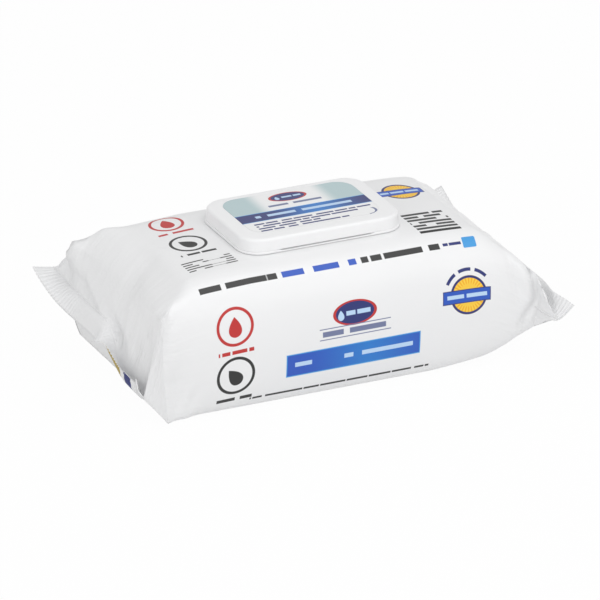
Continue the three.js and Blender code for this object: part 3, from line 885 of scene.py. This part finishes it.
def mouldedWhite():
    mat = Mat("closureWhite")
    place = objectPlace(mat)
    grain = mat.noise(place, 900.0, 3.0, 0.6)
    flow = mat.noise(place, 34.0, 2.0, 0.5)  # faint flow of the moulded plastic
    bump = mat.node("ShaderNodeBump", {}, {"Strength": 0.12, "Distance": 0.0002, "Height": grain + flow})
    colour = mat.blendColour(flow, (0.87, 0.872, 0.88), (0.89, 0.892, 0.898))
    return mat.finish(Base_Color=colour, Roughness=0.34 + (grain - 0.5) * 0.1, Normal=bump)


def labelMaterial():
    mat = Mat("labelPrint")
    place = objectPlace(mat)
    u, v = mat.coords(place, 1000.0)
    fine = mat.noise(place, 700.0, 2.0, 0.5)
    colour = mat.blendColour(fine, (0.87, 0.875, 0.88), (0.895, 0.897, 0.9))

    def paint(mask, name):
        nonlocal colour
        colour = mat.blendColour(mask, colour, ink[name])

    # tinted corners fade to white in the middle, over the band
    paint(mat.step(3.6 - v, soft) * mat.step(20 - abs(u), 5.0), "teal")
    band = panel(mat, u, v, (0, -2), (41, 5.6))
    mid = mat.blendColour(mat.step(abs(u - 8) - 14, 18.0), ink["navy"], ink["azure"])
    paint(mat.step(band, soft), "sky")
    colour = mat.blendColour(mat.step(band + 0.5, soft), colour, mid)
    paint(wordBars(mat, u, v, -29, 29, 0.5, 1, 4.6, 0.62, 3.1, 0.15), "pale")
    oval = disc(mat, u, v, (-0.4, 18.6), 11.4, 0.5)
    paint(mat.step(oval, soft), "red")
    paint(mat.step(oval + 1.4, soft), "navy")
    paint(mat.step(drop(mat, u, v, (-7, 17.9), 1.8), soft), "pale")
    paint(wordBars(mat, u, v, -4, 7.5, 20.3, 1, 3.2, 0.6, 5.0, 0.24), "pale")
    paint(wordBars(mat, u, v, -16, 16, 11.2, 1, 3.6, 0.66, 6.0, 0.19), "slate")
    for i, end in enumerate((36, 27, 3, 19)):
        paint(wordBars(mat, u, v, -34, end, -9.6 - i * 3.1, 1, 3.1, 0.5, 7.0 + i, 0.24), "navy")
    away = mat.math("SQRT", (u - 31) * (u - 31) + (v + 18) * (v + 18))
    # a short arc near the front right corner
    paint(mat.step(abs(away - 5) - 0.7, soft) * mat.step(30.5 - u, 0.5) * mat.step(v + 15, 0.6), "slate")
    return mat.finish(Base_Color=colour, Roughness=0.3 + (fine - 0.5) * 0.08, Coat_Weight=0.25,
                      Coat_Roughness=0.15)


def foilMaterial():
    mat = Mat("sealFoil")
    place = objectPlace(mat)
    x = mat.coords(place, 1000.0)[0]
    crease = mat.noise(place, 120.0, 3.0, 0.6)
    bump = mat.node("ShaderNodeBump", {}, {"Strength": 0.35, "Distance": 0.0004, "Height": crease})
    colour = mat.blendColour(crease, (0.72, 0.73, 0.75), (0.8, 0.81, 0.83))
    colour = mat.blendColour(mat.step(17.5 - x, 0.2), colour, ink["sky"])  # tinted pull tab
    return mat.finish(Base_Color=colour, Roughness=0.28, Metallic=0.55, Normal=bump)


closureWhite = mouldedWhite()
for piece, body in ((lidShell, "lid"), (closureFrame, "pack")):
    setMaterial(piece, closureWhite)
    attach(piece, body)
for piece in hingeStraps:
    setMaterial(piece, closureWhite)
    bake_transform(piece)
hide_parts("lid")
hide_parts("closure_frame")
setMaterial(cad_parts["lid_label"], labelMaterial())
setMaterial(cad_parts["peel_seal"], foilMaterial())
print("closure dressed")

seamFlap = {"halfLength": 68, "width": 13, "thickness": 0.4, "offset": 6, "lift": 0.02, "edge": 0.12}


def makeSeamFlap():
    # the long lap seam, pressed flat under the pack
    s = seamFlap
    bm = bmesh.new()
    place = Matrix.Translation((0, s["offset"] * mm, (s["thickness"] / 2 + s["lift"]) * mm))
    place = place @ Matrix.Diagonal((2 * s["halfLength"] * mm, s["width"] * mm, s["thickness"] * mm, 1))
    bmesh.ops.create_cube(bm, size=1, matrix=place)
    bevelled(bm, bm.edges[:], s["edge"], 2)
    return finished("seamFlap", bm)


seam = makeSeamFlap()
setMaterial(seam, finWhite)
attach(seam, "pack")


backdrop = {"white": 0.97, "ambient": 0.61}


def makeFloor():
    bm = bmesh.new()
    bmesh.ops.create_grid(bm, x_segments=1, y_segments=1, size=6)
    floor = finished("floor", bm)
    mat = Mat("floorWhite")
    mat.finish(Base_Color=(0.82, 0.82, 0.82), Roughness=0.9)
    # mostly plain white where it is seen, so only the soft contact shadow shows
    seen = mat.node("ShaderNodeLightPath", {}, {}, "Is Camera Ray")
    for other in ("Is Glossy Ray", "Is Transmission Ray"):
        seen = mat.math("MAXIMUM", seen, mat.node("ShaderNodeLightPath", {}, {}, other))
    glow = mat.node("ShaderNodeEmission", {}, {"Color": (1.0, 1.0, 1.0), "Strength": 1.0})
    lit = Sock(mat, mat.shader.outputs[0])
    mix = mat.node("ShaderNodeMixShader", {}, {0: seen * backdrop["white"], 1: lit, 2: glow})
    mat.put(mat.tree.nodes["Material Output"].inputs["Surface"], mix)
    setMaterial(floor, mat.material)
    return floor


def makeWorld():
    world = bpy.data.worlds.new("studio")
    scene.world = world
    world.use_nodes = True
    nodes, links = world.node_tree.nodes, world.node_tree.links
    path = nodes.new("ShaderNodeLightPath")
    strength = nodes.new("ShaderNodeMapRange")
    strength.inputs["To Min"].default_value = backdrop["ambient"]
    strength.inputs["To Max"].default_value = 1.0
    links.new(path.outputs["Is Camera Ray"], strength.inputs["Value"])
    links.new(strength.outputs[0], nodes["Background"].inputs["Strength"])
    nodes["Background"].inputs["Color"].default_value = (1, 1, 1, 1)


makeFloor()
makeWorld()
scene.view_settings.view_transform = "Standard"
print("floor and light set")
